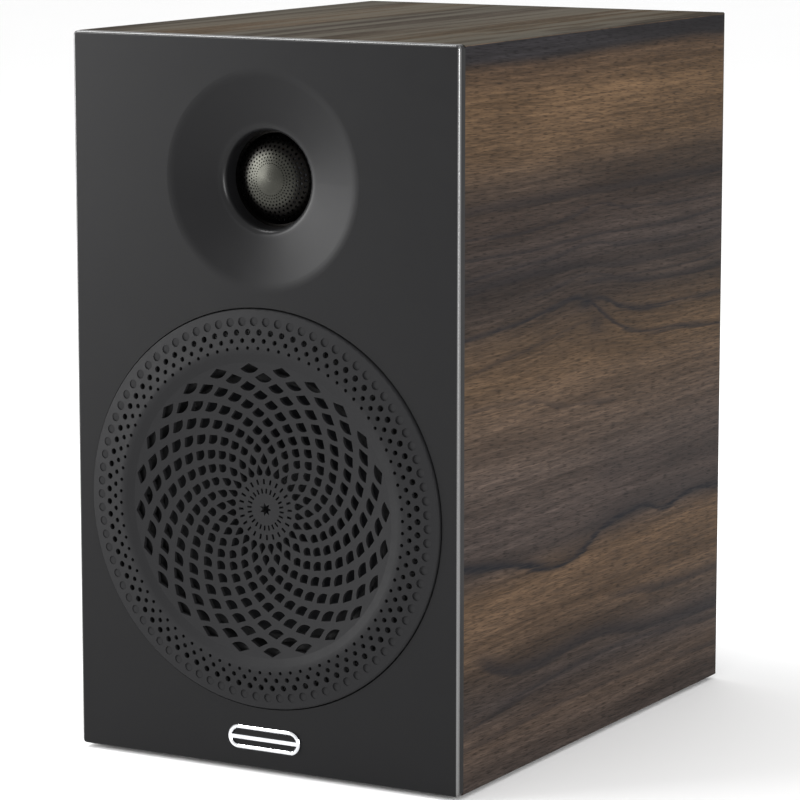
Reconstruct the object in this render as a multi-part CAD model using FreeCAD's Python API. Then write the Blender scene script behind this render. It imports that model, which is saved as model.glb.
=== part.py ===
"""Two-way bookshelf speaker, in millimetres.

X runs to the listener's right as they face the speaker, the front faces -Y and +Z is up.
The origin is the middle of the whole object's outline, on the surface the feet stand on.
Inside this file a place is given by x, by depth behind the fascia's front plane, and by
height above the cabinet's underside.
"""
import FreeCAD, Part
import math
import os

# ---- cabinet ----
cabinet_width = 200.0
cabinet_height = 332.0
cabinet_depth = 270.0
panel_thickness = 15.0
edge_radius = 0.8
back_thickness = 15.0
foot_height = 2.0
foot_radius = 9.0
foot_inset = 24.0

# ---- fascia ----
fascia_thickness = 5.0
fascia_edge_radius = 1.2
fascia_corner_radius = 2.0
baffle_thickness = 15.0

# ---- grille magnets, behind the fascia ----
magnet_disc_radius = 5.0
magnet_disc_height = 3.0
magnet_inset = 28.0

# ---- badge ----
badge_height = 14.0
badge_length = 38.0
badge_width = 11.0
badge_rim = 1.8
badge_thickness = 1.4

# ---- bass driver, front to back ----
woofer_height = 120.0
trim_radius = 91.2
trim_groove = 0.6
trim_wall = 2.2
trim_edge_rounding = 0.8
trim_slope = 9.0
trim_proud = 4.0
crest_radius = 73.6
crest_rounding = 8.0
rim_slope = 17.0
lens_radius = 67.6
lens_proud = 2.5
lens_sink = 1.8
lens_thickness = 2.0
flange_front = 2.0
flange_thickness = 2.5
basket_wall_radius = 77.4
basket_wall = 2.0
basket_lip_depth = 8.0
basket_lip_width = 4.2
spider_shelf_depth = 47.0
spider_shelf_radius = 45.0
basket_neck_radius = 39.2
basket_base_depth = 61.0
basket_window_count = 6
basket_window_sweep = 34.0
cutout_clearance = 0.6
woofer_screw_circle = 82.0
woofer_screw_count = 8
cone_rim_radius = 61.5
cone_land = 3.5
cone_thickness = 0.8
cone_neck_depth = 35.0
roll_radius = 5.0
roll_thickness = 0.8
soft_gap = 0.3
former_radius = 19.2
former_wall = 0.3
former_length = 40.0
coil_thickness = 0.75
coil_depth = 58.5
coil_length = 12.0
magnetic_gap = 0.6
pole_radius = 18.4
pole_vent_radius = 5.0
top_plate_radius = 44.0
top_plate_thickness = 6.0
woofer_magnet_radius = 48.0
woofer_magnet_bore = 24.0
woofer_magnet_thickness = 18.0
back_plate_thickness = 6.0
dust_cap_radius = 22.0
dust_cap_rise = 7.0
dust_cap_wall = 0.7

# ---- trim ring perforations ----
perforation_count = 86
dimple_circle = 85.8
dimple_radius = 2.0
dimple_depth = 0.6
perforation_rows = [(81.1, 1.4), (77.4, 1.1), (74.05, 0.8)]

# ---- lens perforations ----
petal_count = 24
petal_rings = 12
petal_outer_circle = 64.4
petal_ring_step = 4.05
petal_inner_step = 5.1
petal_wide_rings = 10
petal_share = 0.56
petal_tip = 2.6
petal_bowl = 1.9
petal_inner_stretch = 1.15
petal_twist = 8.6
petal_start = 5.0
petal_corner = 0.35
slot_rows = [(12.8, 0.5, 1.2), (8.5, 0.42, 1.15)]
star_points = 7
star_outer = 3.1
star_inner = 1.6

# ---- tweeter, front to back ----
tweeter_from_top = 63.5
dish_radius = 50.0
dish_blend = 22.0
dish_slope = 10.0
throat_lip = 3.5
throat_radius = 22.0
throat_boss_wall = 4.0
tweeter_lens_thickness = 0.8
tweeter_lens_crest = 6.6
tweeter_lens_middle_curve = 40.0
tweeter_lens_middle_slope = 19.0
tweeter_lens_edge_radius = 20.6
tweeter_lens_edge_slope = 48.0
tweeter_lens_flange = 2.0
tweeter_hole_count = 40
tweeter_hole_rows = [(7.3, 0.28), (8.6, 0.32), (10.0, 0.38), (11.5, 0.44), (13.1, 0.5), (14.8, 0.56),
                     (16.6, 0.6), (18.5, 0.62)]
faceplate_radius = 35.5
faceplate_thickness = 5.0
faceplate_throat = 16.5
surround_recess = 2.0
surround_recess_radius = 17.6
tweeter_boss_circle = 32.0
tweeter_boss_radius = 3.4
dome_radius = 12.6
dome_rise = 4.6
dome_setback = 4.6
dome_thickness = 0.3
dome_roll = 1.6
tweeter_former_wall = 0.2
tweeter_coil_thickness = 0.4
tweeter_coil_length = 3.0
tweeter_gap = 0.4
tweeter_pole_radius = 12.0
tweeter_vent_radius = 3.5
tweeter_plate_radius = 29.0
tweeter_plate_thickness = 3.0
tweeter_magnet_bore = 18.0
tweeter_magnet_thickness = 8.0
tweeter_yoke_thickness = 3.0
chamber_radius = 26.0
chamber_wall = 2.0
chamber_length = 18.0
tweeter_opening_radius = 38.0

# ---- port ----
port_from_top = 70.0
port_bore = 22.0
port_wall = 2.5
port_length = 120.0
port_flare = 8.0
port_flange_seat = 3.5
port_flange_thickness = 3.0
port_clearance = 0.3

# ---- terminal cup and binding posts ----
cup_height = 72.0
cup_plate_width = 92.0
cup_plate_height = 66.0
cup_plate_thickness = 2.5
cup_plate_corner = 5.0
cup_pocket_width = 72.0
cup_pocket_height = 46.0
cup_pocket_corner = 6.0
cup_wall = 2.5
cup_recess = 28.0
cup_gasket_thickness = 0.8
cup_clearance = 0.3
cup_screw_spacing_x = 82.0
cup_screw_spacing_z = 56.0
post_spacing = 19.05
stud_radius = 3.0
stud_length = 24.0
stud_tail = 16.0
banana_bore = 2.0
banana_depth = 15.0
wire_hole_radius = 1.3
bush_radius = 8.0
bush_thickness = 2.5
collar_radius = 6.0
collar_thickness = 2.0
washer_gap = 0.1
washer_thickness = 1.0
washer_radius = 6.4
thread_clearance = 0.05
insert_radius = 4.5
knob_radius = 7.2
knob_length = 19.6
knob_flutes = 16
knob_flute_radius = 0.8
insert_setback = 0.5
lug_thickness = 0.8
lug_radius = 6.0
lug_length = 14.0
lug_width = 5.0
nut_across_corners = 10.4
nut_thickness = 3.5

# ---- screws ----
wood_screw_radius = 1.9
wood_screw_head_radius = 3.4
wood_screw_head = 1.7
wood_screw_length = 18.0
small_screw_radius = 1.4
small_screw_head_radius = 2.7
small_screw_head = 1.6
small_screw_length = 12.0
cross_slot_width = 0.7
cross_slot_depth = 0.9
screw_clearance = 0.05
plate_screw_length = 5.0
screw_tip_room = 0.3

# ---- brace, wadding, crossover, wiring ----
brace_to_board = 10.0
brace_thickness = 12.0
brace_rail = 27.0
brace_stile = 23.0
wadding_thickness = 8.0
wadding_depth = 28.0
wadding_to_brace = 12.0
wadding_low = 40.0
wadding_from_top = 107.0
board_width = 90.0
board_length = 76.0
board_from_back = 120.0
board_thickness = 3.0
board_screw_inset = 5.0
low_pass_radius = 18.0
low_pass_length = 16.0
high_pass_radius = 12.0
high_pass_length = 12.0
coil_bore_share = 0.4
capacitor_radius = 7.0
capacitor_length = 26.0
resistor_length = 24.0
resistor_side = 6.0
component_gap = 8.0
lead_radius = 1.1
lead_spacing = 5.0
lead_room = 2.1
tinsel_radius = 0.6
strip_width = 18.0
strip_thickness = 1.5
strip_length = 11.5

# ---- worked-out places ----
front_y = trim_proud - (cabinet_depth + trim_proud) / 2.0
half_width = cabinet_width / 2.0
inner_half = half_width - panel_thickness
inner_top = cabinet_height - panel_thickness
back_inner = cabinet_depth - back_thickness
lip_front = basket_lip_depth - soft_gap
cup_floor = cabinet_depth - cup_recess
throat_boss_radius = throat_radius + throat_boss_wall
board_top = panel_thickness + board_thickness
board_depth = cabinet_depth - board_from_back
brace_depth = board_depth - brace_to_board - brace_thickness
tweeter_height = cabinet_height - tweeter_from_top
port_height = cabinet_height - port_from_top
port_flange_radius = port_bore + port_wall + port_flare + port_flange_seat
backwards = FreeCAD.Vector(0, 1, 0)
upwards = FreeCAD.Vector(0, 0, 1)


# ---- drawing helpers ----
def at(x, depth, height):
    """A point from x, the depth behind the fascia's front plane and the height above the underside."""
    return FreeCAD.Vector(x, front_y + depth, foot_height + height)


def around(radius, degrees, depth, centre_height, centre_x=0.0):
    """A point on a circle about a driver's axis; 0 degrees is +X and 90 degrees is up."""
    angle = math.radians(degrees)
    return at(centre_x + radius * math.cos(angle), depth, centre_height + radius * math.sin(angle))


def sound(shape):
    """The shape with its solid facing outwards."""
    if shape.Volume < 0:
        shape.reverse()
    return shape


def outline(start, *steps):
    """A closed wire: each step is the next corner, or a point that an arc passes and its end."""
    edges = []
    here = start
    for step in steps + (start,):
        if isinstance(step, tuple):
            edges.append(Part.Arc(here, step[0], step[1]).toShape())
            here = step[1]
        elif step.distanceToPoint(here) > 1e-6:
            edges.append(Part.LineSegment(here, step).toShape())
            here = step
    return Part.Wire(edges)


def turned(centre_height, start, *steps, centre_x=0.0):
    """A body of revolution about a driver's axis, from (radius, depth) corners; a pair is an arc."""
    def place(corner):
        return at(centre_x + corner[0], corner[1], centre_height)

    placed = []
    for step in steps:
        is_arc = isinstance(step[0], tuple)
        placed.append((place(step[0]), place(step[1])) if is_arc else place(step))
    face = Part.Face(outline(place(start), *placed))
    return sound(face.revolve(at(centre_x, 0, centre_height), backwards, 360))


def rod(x, height, depth_front, depth_back, radius):
    """A cylinder along Y."""
    return Part.makeCylinder(radius, depth_back - depth_front, at(x, depth_front, height), backwards)


def tube(x, height, depth_front, depth_back, radius, bore):
    """A hollow cylinder along Y."""
    inside = rod(x, height, depth_front - 1, depth_back + 1, bore)
    return rod(x, height, depth_front, depth_back, radius).cut(inside)


def block(x_low, x_high, depth_front, depth_back, low, high):
    """A box between two x values, two depths and two heights."""
    corner = at(x_low, depth_front, low)
    return Part.makeBox(x_high - x_low, depth_back - depth_front, high - low, corner)


def rounded_slab(width, height, corner, centre_height, depth_front, depth_back):
    """A centred slab with its four Y edges rounded."""
    half = width / 2.0
    low = centre_height - height / 2.0
    slab = block(-half, half, depth_front, depth_back, low, low + height)
    along = [edge for edge in slab.Edges if abs(edge.Vertexes[0].Y - edge.Vertexes[-1].Y) > 1e-6]
    return slab.makeFillet(corner, along)


def ring_of(count, shape, centre_height, start_degrees=0.0):
    """Copies of a shape, evenly spaced about a driver's axis."""
    copies = []
    for index in range(count):
        copy = shape.copy()
        copy.rotate(at(0, 0, centre_height), backwards, -start_degrees - index * 360.0 / count)
        copies.append(copy)
    return copies


def cap_middle(crest, radius, edge):
    """The halfway corner of a round cap's arc, from its crest on the axis to its edge."""
    rise = edge - crest
    curvature = (radius ** 2 + rise ** 2) / (2.0 * rise)
    half_sweep = math.asin(radius / curvature) / 2.0
    return curvature * math.sin(half_sweep), crest + curvature * (1.0 - math.cos(half_sweep))


def arc_place(centre, radius, degrees):
    """A (radius, depth) corner on an arc whose front faces forward at 0 degrees."""
    angle = math.radians(degrees)
    return centre[0] + radius * math.sin(angle), centre[1] - radius * math.cos(angle)


def perforated_disc(radius, centre_height, holes, depth_front, depth_back):
    """A flat disc with holes right through it."""
    rim = Part.Wire(Part.makeCircle(radius, at(0, depth_front, centre_height), backwards))
    face = Part.makeFace([rim] + holes, "Part::FaceMakerBullseye")
    return sound(face.extrude(backwards * (depth_back - depth_front)))


def round_holes(count, circle, radius, start_degrees, centre_height, depth):
    """Circular wires, evenly spaced on a circle about a driver's axis."""
    holes = []
    for index in range(count):
        centre = around(circle, start_degrees + index * 360.0 / count, depth, centre_height)
        holes.append(Part.Wire(Part.makeCircle(radius, centre, backwards)))
    return holes


def round_head_screws(places, depth_seat, length, radius, head_radius, head):
    """Round-headed screws along +Y, each with its head's underside at the seat."""
    screws = []
    for x, height in places:
        shank = rod(x, height, depth_seat, depth_seat + length, radius)
        cap = rod(x, height, depth_seat - head, depth_seat, head_radius)
        rim = [edge for edge in cap.Edges if abs(edge.BoundBox.YMax - cap.BoundBox.YMin) < 1e-6]
        screws.append(cap.makeFillet(head * 0.6, rim).fuse(shank).removeSplitter())
    return screws


def holes_for(places, depth_front, depth_back, radius):
    """Cutters for screws that run along Y."""
    return [rod(x, height, depth_front, depth_back, radius) for x, height in places]


def wire_path(label, points, radius):
    """A round lead: straight runs joined by tangent arcs as large as the runs allow."""
    edges = []
    radii = []
    here = points[0]
    for before, corner, after in zip(points, points[1:], points[2:]):
        arriving = corner - before
        leaving = after - corner
        setback = 0.45 * min(arriving.Length, leaving.Length)
        turn = arriving.getAngle(leaving)
        bend = setback / math.tan(turn / 2.0)
        arriving = arriving / arriving.Length
        leaving = leaving / leaving.Length
        inward = leaving - arriving
        inward = inward / inward.Length
        start = corner - arriving * setback
        end = corner + leaving * setback
        middle = corner + inward * (bend / math.cos(turn / 2.0) - bend)
        edges.append(Part.LineSegment(here, start).toShape())
        edges.append(Part.Arc(start, middle, end).toShape())
        radii.append(bend)
        here = end
    edges.append(Part.LineSegment(here, points[-1]).toShape())
    path = Part.Wire(edges)
    section = Part.Wire(Part.makeCircle(radius, points[0], points[1] - points[0]))
    solid = sound(path.makePipeShell([section], True, False))
    ideal = math.pi * radius ** 2 * path.Length
    print(f"{label}: length {path.Length:.1f}, tightest bend {min(radii):.1f}, "
          f"volume over section times length {solid.Volume / ideal:.4f}")
    return solid


# ---- cabinet ----
def mitred_panel(corner_a, corner_b):
    """One wall of the box between two outer corners, mitred to its neighbours, arrises rounded."""
    along = (corner_b - corner_a).normalize()
    inward = FreeCAD.Vector(-along.z, 0, along.x)
    flat = 1.0 - math.sqrt(0.5)
    points = []
    for corner, way in ((corner_a, along), (corner_b, along * -1.0)):
        diagonal = way + inward
        centre = corner + diagonal * edge_radius
        bisector = (diagonal * -math.sqrt(0.5) - inward).normalize()
        mitre_top = corner + diagonal * (edge_radius * flat)
        middle = centre + bisector * edge_radius
        inside = corner + diagonal * panel_thickness
        points.append((inside, mitre_top, middle, corner + way * edge_radius))
    near, far = points
    wire = outline(near[0], near[1], (near[2], near[3]), far[3], (far[2], far[1]), far[0])
    return sound(Part.Face(wire).extrude(backwards * (cabinet_depth - fascia_thickness)))


def cabinet_panels():
    """The four mitred walls, by name."""
    low_left = at(-half_width, fascia_thickness, 0)
    low_right = at(half_width, fascia_thickness, 0)
    high_right = at(half_width, fascia_thickness, cabinet_height)
    high_left = at(-half_width, fascia_thickness, cabinet_height)
    return {
        "bottom_panel": mitred_panel(low_left, low_right),
        "right_panel": mitred_panel(low_right, high_right),
        "top_panel": mitred_panel(high_right, high_left),
        "left_panel": mitred_panel(high_left, low_left),
    }


def woofer_screw_places():
    """Where the bass driver's screws stand, as (x, height)."""
    places = []
    for index in range(woofer_screw_count):
        angle = math.radians((index + 0.5) * 360.0 / woofer_screw_count)
        x = woofer_screw_circle * math.cos(angle)
        places.append((x, woofer_height + woofer_screw_circle * math.sin(angle)))
    return places


def tweeter_lens_arcs():
    """The two arcs of the tweeter's lens, middle then edge, as (centre, radius)."""
    middle = (0.0, tweeter_lens_crest + tweeter_lens_middle_curve)
    join = arc_place(middle, tweeter_lens_middle_curve, tweeter_lens_middle_slope)
    from_join = math.sin(math.radians(tweeter_lens_middle_slope))
    to_edge = math.sin(math.radians(tweeter_lens_edge_slope))
    edge_curve = (tweeter_lens_edge_radius - join[0]) / (to_edge - from_join)
    back = arc_place((0.0, 0.0), edge_curve, tweeter_lens_middle_slope)
    edge = (join[0] - back[0], join[1] - back[1])
    return (middle, tweeter_lens_middle_curve), (edge, edge_curve)


def throat_boss_depth():
    """Where the fascia's boss ends and the tweeter's lens seats."""
    edge, curve = tweeter_lens_arcs()[1]
    return arc_place(edge, curve, tweeter_lens_edge_slope)[1]


def tweeter_screw_places():
    """Where the tweeter's screws stand, as (x, height)."""
    places = []
    for index in range(3):
        angle = math.radians(90.0 + index * 120.0)
        x = tweeter_boss_circle * math.cos(angle)
        places.append((x, tweeter_height + tweeter_boss_circle * math.sin(angle)))
    return places


def grille_magnet_places():
    """Where the hidden grille magnets stand, as (x, height)."""
    x = half_width - magnet_inset
    heights = (magnet_inset, cabinet_height - magnet_inset)
    return [(side * x, height) for side in (-1, 1) for height in heights]


def tweeter_dish():
    """What is cut away in front of the tweeter: a shallow cone that rolls over a lip into the throat."""
    slope = math.radians(dish_slope)
    blend_end = (dish_radius - dish_blend * math.sin(slope), dish_blend * (1.0 - math.cos(slope)))
    blend_half = arc_place((dish_radius, dish_blend), dish_blend, -dish_slope / 2.0)
    lip_start = throat_radius + throat_lip * (1.0 - math.sin(slope))
    lip_depth = blend_end[1] + (blend_end[0] - lip_start) * math.tan(slope)
    lip_centre = (throat_radius + throat_lip, lip_depth + throat_lip * math.cos(slope))
    lip_half = arc_place(lip_centre, throat_lip, -(90.0 + dish_slope) / 2.0)
    past = throat_boss_depth() + 1
    return turned(
        tweeter_height, (0, -1), (dish_radius, -1), (dish_radius, 0), (blend_half, blend_end),
        (lip_start, lip_depth), (lip_half, (throat_radius, lip_centre[1])),
        (throat_radius, past), (0, past))


def front_fascia():
    """The black front plate, with the tweeter's dish moulded in and the bass driver's opening."""
    plate = block(-half_width, half_width, 0, fascia_thickness, 0, cabinet_height)
    corners = [edge for edge in plate.Edges if abs(edge.Vertexes[0].Y - edge.Vertexes[-1].Y) > 1e-6]
    plate = plate.makeFillet(fascia_corner_radius, corners)
    front = [edge for edge in plate.Edges if edge.BoundBox.YMax < front_y + 1e-3]
    plate = plate.makeFillet(fascia_edge_radius, front)
    opening = rod(0, woofer_height, -1, fascia_thickness + 1, trim_radius + trim_groove)
    bosses = [rod(0, tweeter_height, fascia_thickness, throat_boss_depth(), throat_boss_radius)]
    boss_end = throat_boss_depth() + tweeter_lens_thickness
    pilot_front = boss_end - plate_screw_length - screw_tip_room
    pilots = []
    for x, height in tweeter_screw_places():
        bosses.append(rod(x, height, fascia_thickness, boss_end, tweeter_boss_radius))
        pilots.append(rod(x, height, pilot_front, boss_end + 1, small_screw_radius + screw_clearance))
    plate = plate.fuse(bosses)
    return plate.cut([opening, tweeter_dish()] + pilots).removeSplitter()


def inner_baffle():
    """The structural board behind the fascia."""
    board = block(-inner_half, inner_half, fascia_thickness, fascia_thickness + baffle_thickness,
                  panel_thickness, inner_top)
    back = fascia_thickness + baffle_thickness + 1
    cutters = [
        rod(0, woofer_height, 0, back, basket_wall_radius + cutout_clearance),
        rod(0, tweeter_height, 0, back, tweeter_opening_radius),
    ]
    pilot_depth = flange_front + wood_screw_length + screw_clearance
    cutters += holes_for(woofer_screw_places(), 0, pilot_depth, wood_screw_radius + screw_clearance)
    pocket = fascia_thickness + magnet_disc_height
    cutters += holes_for(grille_magnet_places(), 0, pocket, magnet_disc_radius + screw_clearance)
    return board.cut(cutters)


def grille_magnets():
    """Four magnet discs let into the baffle, which hold the cloth grille when it is fitted."""
    back = fascia_thickness + magnet_disc_height
    return holes_for(grille_magnet_places(), fascia_thickness, back, magnet_disc_radius)


def cup_screw_places():
    """Where the terminal cup's screws stand, as (x, height)."""
    x = cup_screw_spacing_x / 2.0
    z = cup_screw_spacing_z / 2.0
    return [(side * x, cup_height + level * z) for side in (-1, 1) for level in (-1, 1)]


def back_panel():
    """The rear board, let in between the four walls, with the port and terminal openings."""
    board = block(-inner_half, inner_half, back_inner, cabinet_depth, panel_thickness, inner_top)
    rebate_front = cabinet_depth - cup_plate_thickness - cup_gasket_thickness
    flange_front_depth = cabinet_depth - port_flange_thickness
    past = cabinet_depth + 1
    cutters = [
        rod(0, port_height, back_inner - 1, past, port_bore + port_wall + port_clearance + port_flare),
        rod(0, port_height, flange_front_depth, past, port_flange_radius + port_clearance),
        rounded_slab(cup_pocket_width + 2 * (cup_wall + cup_clearance),
                     cup_pocket_height + 2 * (cup_wall + cup_clearance),
                     cup_pocket_corner + cup_wall + cup_clearance, cup_height, back_inner - 1, past),
        rounded_slab(cup_plate_width + 2 * cup_clearance, cup_plate_height + 2 * cup_clearance,
                     cup_plate_corner + cup_clearance, cup_height, rebate_front, past),
    ]
    pilot_front = cabinet_depth - small_screw_head - small_screw_length - screw_clearance
    cutters += holes_for(cup_screw_places(), pilot_front, past, small_screw_radius + screw_clearance)
    return board.cut(cutters)


def window_brace():
    """A board across the middle of the box, with one large window."""
    back = brace_depth + brace_thickness
    board = block(-inner_half, inner_half, brace_depth, back, panel_thickness, inner_top)
    window_half = inner_half - brace_stile
    window = block(-window_half, window_half, brace_depth - 1, back + 1,
                   panel_thickness + brace_rail, inner_top - brace_rail)
    along = [edge for edge in window.Edges if abs(edge.Vertexes[0].Y - edge.Vertexes[-1].Y) > 1e-6]
    return board.cut(window.makeFillet(brace_rail / 2.0, along))


def side_wadding():
    """A soft pad against each side wall."""
    pads = []
    for side in (-1, 1):
        wall = side * inner_half
        near, far = sorted((wall, wall - side * wadding_thickness))
        back = brace_depth - wadding_to_brace
        high = cabinet_height - wadding_from_top
        pads.append(block(near, far, wadding_depth, back, wadding_low, high))
    return pads


def rubber_feet():
    """Four stick-on pads."""
    feet = []
    for x in (-half_width + foot_inset, half_width - foot_inset):
        for depth in (foot_inset, cabinet_depth - foot_inset):
            foot = Part.makeCylinder(foot_radius, foot_height, at(x, depth, -foot_height), upwards)
            rim = [edge for edge in foot.Edges if edge.BoundBox.ZMax < 1e-6]
            feet.append(foot.makeChamfer(foot_height / 5.0, rim))
    return feet


def badge():
    """A plain oval ring with a bar across it, stuck on the fascia."""
    half = badge_length / 2.0
    radius = badge_width / 2.0

    def oval(shrink):
        end = half - radius
        reach = radius - shrink
        front = -badge_thickness
        low_left = at(-end, front, badge_height - reach)
        low_right = at(end, front, badge_height - reach)
        high_right = at(end, front, badge_height + reach)
        high_left = at(-end, front, badge_height + reach)
        right = at(end + reach, front, badge_height)
        left = at(-end - reach, front, badge_height)
        wire = outline(low_left, low_right, (right, high_right), high_left, (left, low_left))
        return Part.Face(wire).extrude(backwards * badge_thickness)

    ring = oval(0).cut(oval(badge_rim))
    rim = [edge for edge in ring.Edges if edge.BoundBox.YMax < front_y - badge_thickness + 1e-3]
    ring = ring.makeChamfer(badge_thickness * 0.35, rim)
    bar_half = badge_rim / 2.0
    bar = block(-half + badge_rim / 2.0, half - badge_rim / 2.0, -badge_thickness * 0.7, 0,
                badge_height - bar_half, badge_height + bar_half)
    return sound(ring.fuse(bar).removeSplitter())


# ---- bass driver ----
def ring_front(radius):
    """The depth of the ring's sloping front at a radius."""
    slope = math.radians(trim_slope)
    start = crest_radius + crest_rounding * math.sin(slope)
    crest = crest_rounding * (1.0 - math.cos(slope)) - trim_proud
    return crest + (radius - start) * math.tan(slope)


def lens_front(radius):
    """The depth of the lens's dished front at a radius."""
    return lens_sink - (lens_proud + lens_sink) * (radius / lens_radius) ** 2


def grille_blank():
    """The ring and lens before they are perforated: a sloping ring, a round crest and a shallow dish."""
    outer = trim_radius
    rounding = trim_edge_rounding
    edge = outer - rounding
    crest_centre = (crest_radius, crest_rounding - trim_proud)
    outer_start = arc_place(crest_centre, crest_rounding, trim_slope)
    inner_end = arc_place(crest_centre, crest_rounding, -rim_slope)
    half = lens_radius / 2.0
    quarter = rounding * (1.0 - math.sqrt(0.5))
    corner = ring_front(edge) + rounding
    hollow = outer - trim_wall
    crest_back = trim_wall - trim_proud
    return turned(
        woofer_height, (outer, flange_front), (outer, corner),
        ((outer - quarter, corner - rounding + quarter), (edge, corner - rounding)), outer_start,
        ((crest_radius, -trim_proud), inner_end), (lens_radius, -lens_proud),
        ((half, lens_front(half)), (0, lens_sink)), (0, lens_sink + lens_thickness),
        ((half, lens_front(half) + lens_thickness), (lens_radius, lens_thickness - lens_proud)),
        (inner_end[0], inner_end[1] + trim_wall), (crest_radius, crest_back),
        (outer_start[0], outer_start[1] + trim_wall), (hollow, ring_front(hollow) + trim_wall),
        (hollow, flange_front))


def driver_grille():
    """The bass driver's cover in one moulding: a dimpled ring with hole rows round a spiral-cut lens."""
    holes = []
    pitch = 360.0 / perforation_count
    front = -trim_proud - 1
    for row, (circle, radius) in enumerate(perforation_rows):
        start = pitch * (row + 1) / 2.0
        holes += round_holes(perforation_count, circle, radius, start, woofer_height, front)
    sieve = perforated_disc(trim_radius + 1, woofer_height, holes + lens_holes(front), front, -front)
    dimple_back = ring_front(dimple_circle) + dimple_depth
    dimple = rod(dimple_circle, woofer_height, front, dimple_back, dimple_radius)
    return grille_blank().common(sieve).cut(ring_of(perforation_count, dimple, woofer_height))


def petal(circle, degrees, depth, stretch):
    """One fan-shaped hole: a point outwards and a rounded bowl inwards."""
    half = petal_share * 180.0 / petal_count
    corner = petal_corner
    tip = around(circle + petal_tip * stretch, degrees, depth, woofer_height)
    bowl = around(circle - petal_bowl * stretch, degrees, depth, woofer_height)
    left = around(circle + corner, degrees + half, depth, woofer_height)
    right = around(circle + corner, degrees - half, depth, woofer_height)
    return outline(tip, right, (bowl, left))


def slot(circle, half_across, half_along, degrees, depth):
    """A short radial slot with square ends."""
    corners = []
    for side, end in ((-1, 1), (-1, -1), (1, -1), (1, 1)):
        reach = circle + end * half_along
        turn = side * math.degrees(half_across / reach)
        corners.append(around(reach, degrees + turn, depth, woofer_height))
    return outline(corners[0], *corners[1:])


def lens_holes(depth):
    """Every hole of the bass driver's lens: spiral rings of petals, two rows of slots and a star."""
    holes = []
    pitch = 360.0 / petal_count
    for ring in range(petal_rings):
        wide = min(ring, petal_wide_rings - 1)
        circle = petal_outer_circle - petal_ring_step * wide - petal_inner_step * (ring - wide)
        stretch = petal_inner_stretch if ring > wide else 1.0
        for index in range(petal_count):
            degrees = petal_start + ring * petal_twist + index * pitch
            holes.append(petal(circle, degrees, depth, stretch))
    for row, (circle, half_across, half_along) in enumerate(slot_rows):
        start = petal_start + (petal_rings + row) * petal_twist
        for index in range(petal_count):
            holes.append(slot(circle, half_across, half_along, start + index * pitch, depth))
    corners = []
    for index in range(2 * star_points):
        reach = star_inner if index % 2 else star_outer
        corners.append(around(reach, index * 180.0 / star_points, depth, woofer_height))
    holes.append(outline(corners[0], *corners[1:]))
    return holes


def woofer_basket():
    """The pressed frame: flange, lip for the surround, six windows, spider shelf, neck and base."""
    flange_back = flange_front + flange_thickness
    wall = basket_wall_radius
    inner = wall - basket_wall
    lip_back = basket_lip_depth + basket_wall
    shelf = spider_shelf_radius
    neck = basket_neck_radius
    throat = former_radius + coil_thickness + 2.5
    base_front = basket_base_depth - 2.5
    shelf_back = spider_shelf_depth + basket_wall
    frame = turned(
        woofer_height, (trim_radius, flange_front), (trim_radius, flange_back), (wall, flange_back),
        (wall, lip_back), (shelf + 3, spider_shelf_depth - 1.6), (shelf + 2, shelf_back),
        (neck, shelf_back), (neck, basket_base_depth), (throat, basket_base_depth),
        (throat, base_front), (neck - basket_wall, base_front), (neck - basket_wall, spider_shelf_depth),
        (shelf, spider_shelf_depth), (shelf, spider_shelf_depth - 1.6), (inner, lip_back),
        (inner - basket_lip_width, lip_back), (inner - basket_lip_width, basket_lip_depth),
        (inner, basket_lip_depth), (inner, flange_front))
    window_front = lip_back + 3
    inner_reach = shelf * 0.8
    outer_reach = wall + 8
    corners = []
    for reach, turn in ((inner_reach, -0.5), (outer_reach, -0.5), (outer_reach, 0.5), (inner_reach, 0.5)):
        corners.append(around(reach, turn * basket_window_sweep - 90.0, window_front, woofer_height))
    window = Part.Face(outline(corners[0], *corners[1:])).extrude(
        backwards * (spider_shelf_depth - 2.5 - window_front))
    cutters = ring_of(basket_window_count, sound(window), woofer_height)
    hole = wood_screw_radius + screw_clearance
    cutters += holes_for(woofer_screw_places(), flange_front - 1, flange_back + 1, hole)
    return frame.cut(cutters)


def woofer_gasket():
    """The foam ring between flange and baffle."""
    front = flange_front + flange_thickness
    opening = basket_wall_radius + cutout_clearance
    ring = tube(0, woofer_height, front, fascia_thickness, trim_radius, opening)
    hole = wood_screw_radius + screw_clearance
    return ring.cut(holes_for(woofer_screw_places(), front - 1, fascia_thickness + 1, hole))


def woofer_surround():
    """The rubber half roll between the cone's rim and the frame's lip."""
    front = lip_front - roll_thickness
    roll_inner = cone_rim_radius
    roll_outer = roll_inner + 2 * roll_radius
    centre = roll_inner + roll_radius
    land_outer = basket_wall_radius - basket_wall - soft_gap
    inner_reach = roll_radius - roll_thickness
    return turned(
        woofer_height, (cone_rim_radius - cone_land, front), (roll_inner, front),
        ((centre, front - roll_radius), (roll_outer, front)), (land_outer, front), (land_outer, lip_front),
        (roll_outer - roll_thickness, lip_front), (roll_outer - roll_thickness, front),
        ((centre, front - inner_reach), (roll_inner + roll_thickness, front)),
        (roll_inner + roll_thickness, lip_front), (cone_rim_radius - cone_land, lip_front))


def cone_front(radius):
    """How deep the cone's front lies at a radius."""
    land = cone_rim_radius - cone_land
    neck = former_radius + 0.2
    share = (land - radius) / (land - neck)
    return lip_front + (cone_neck_depth - lip_front) * (share + 0.1 * share * (1.0 - share))


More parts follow.
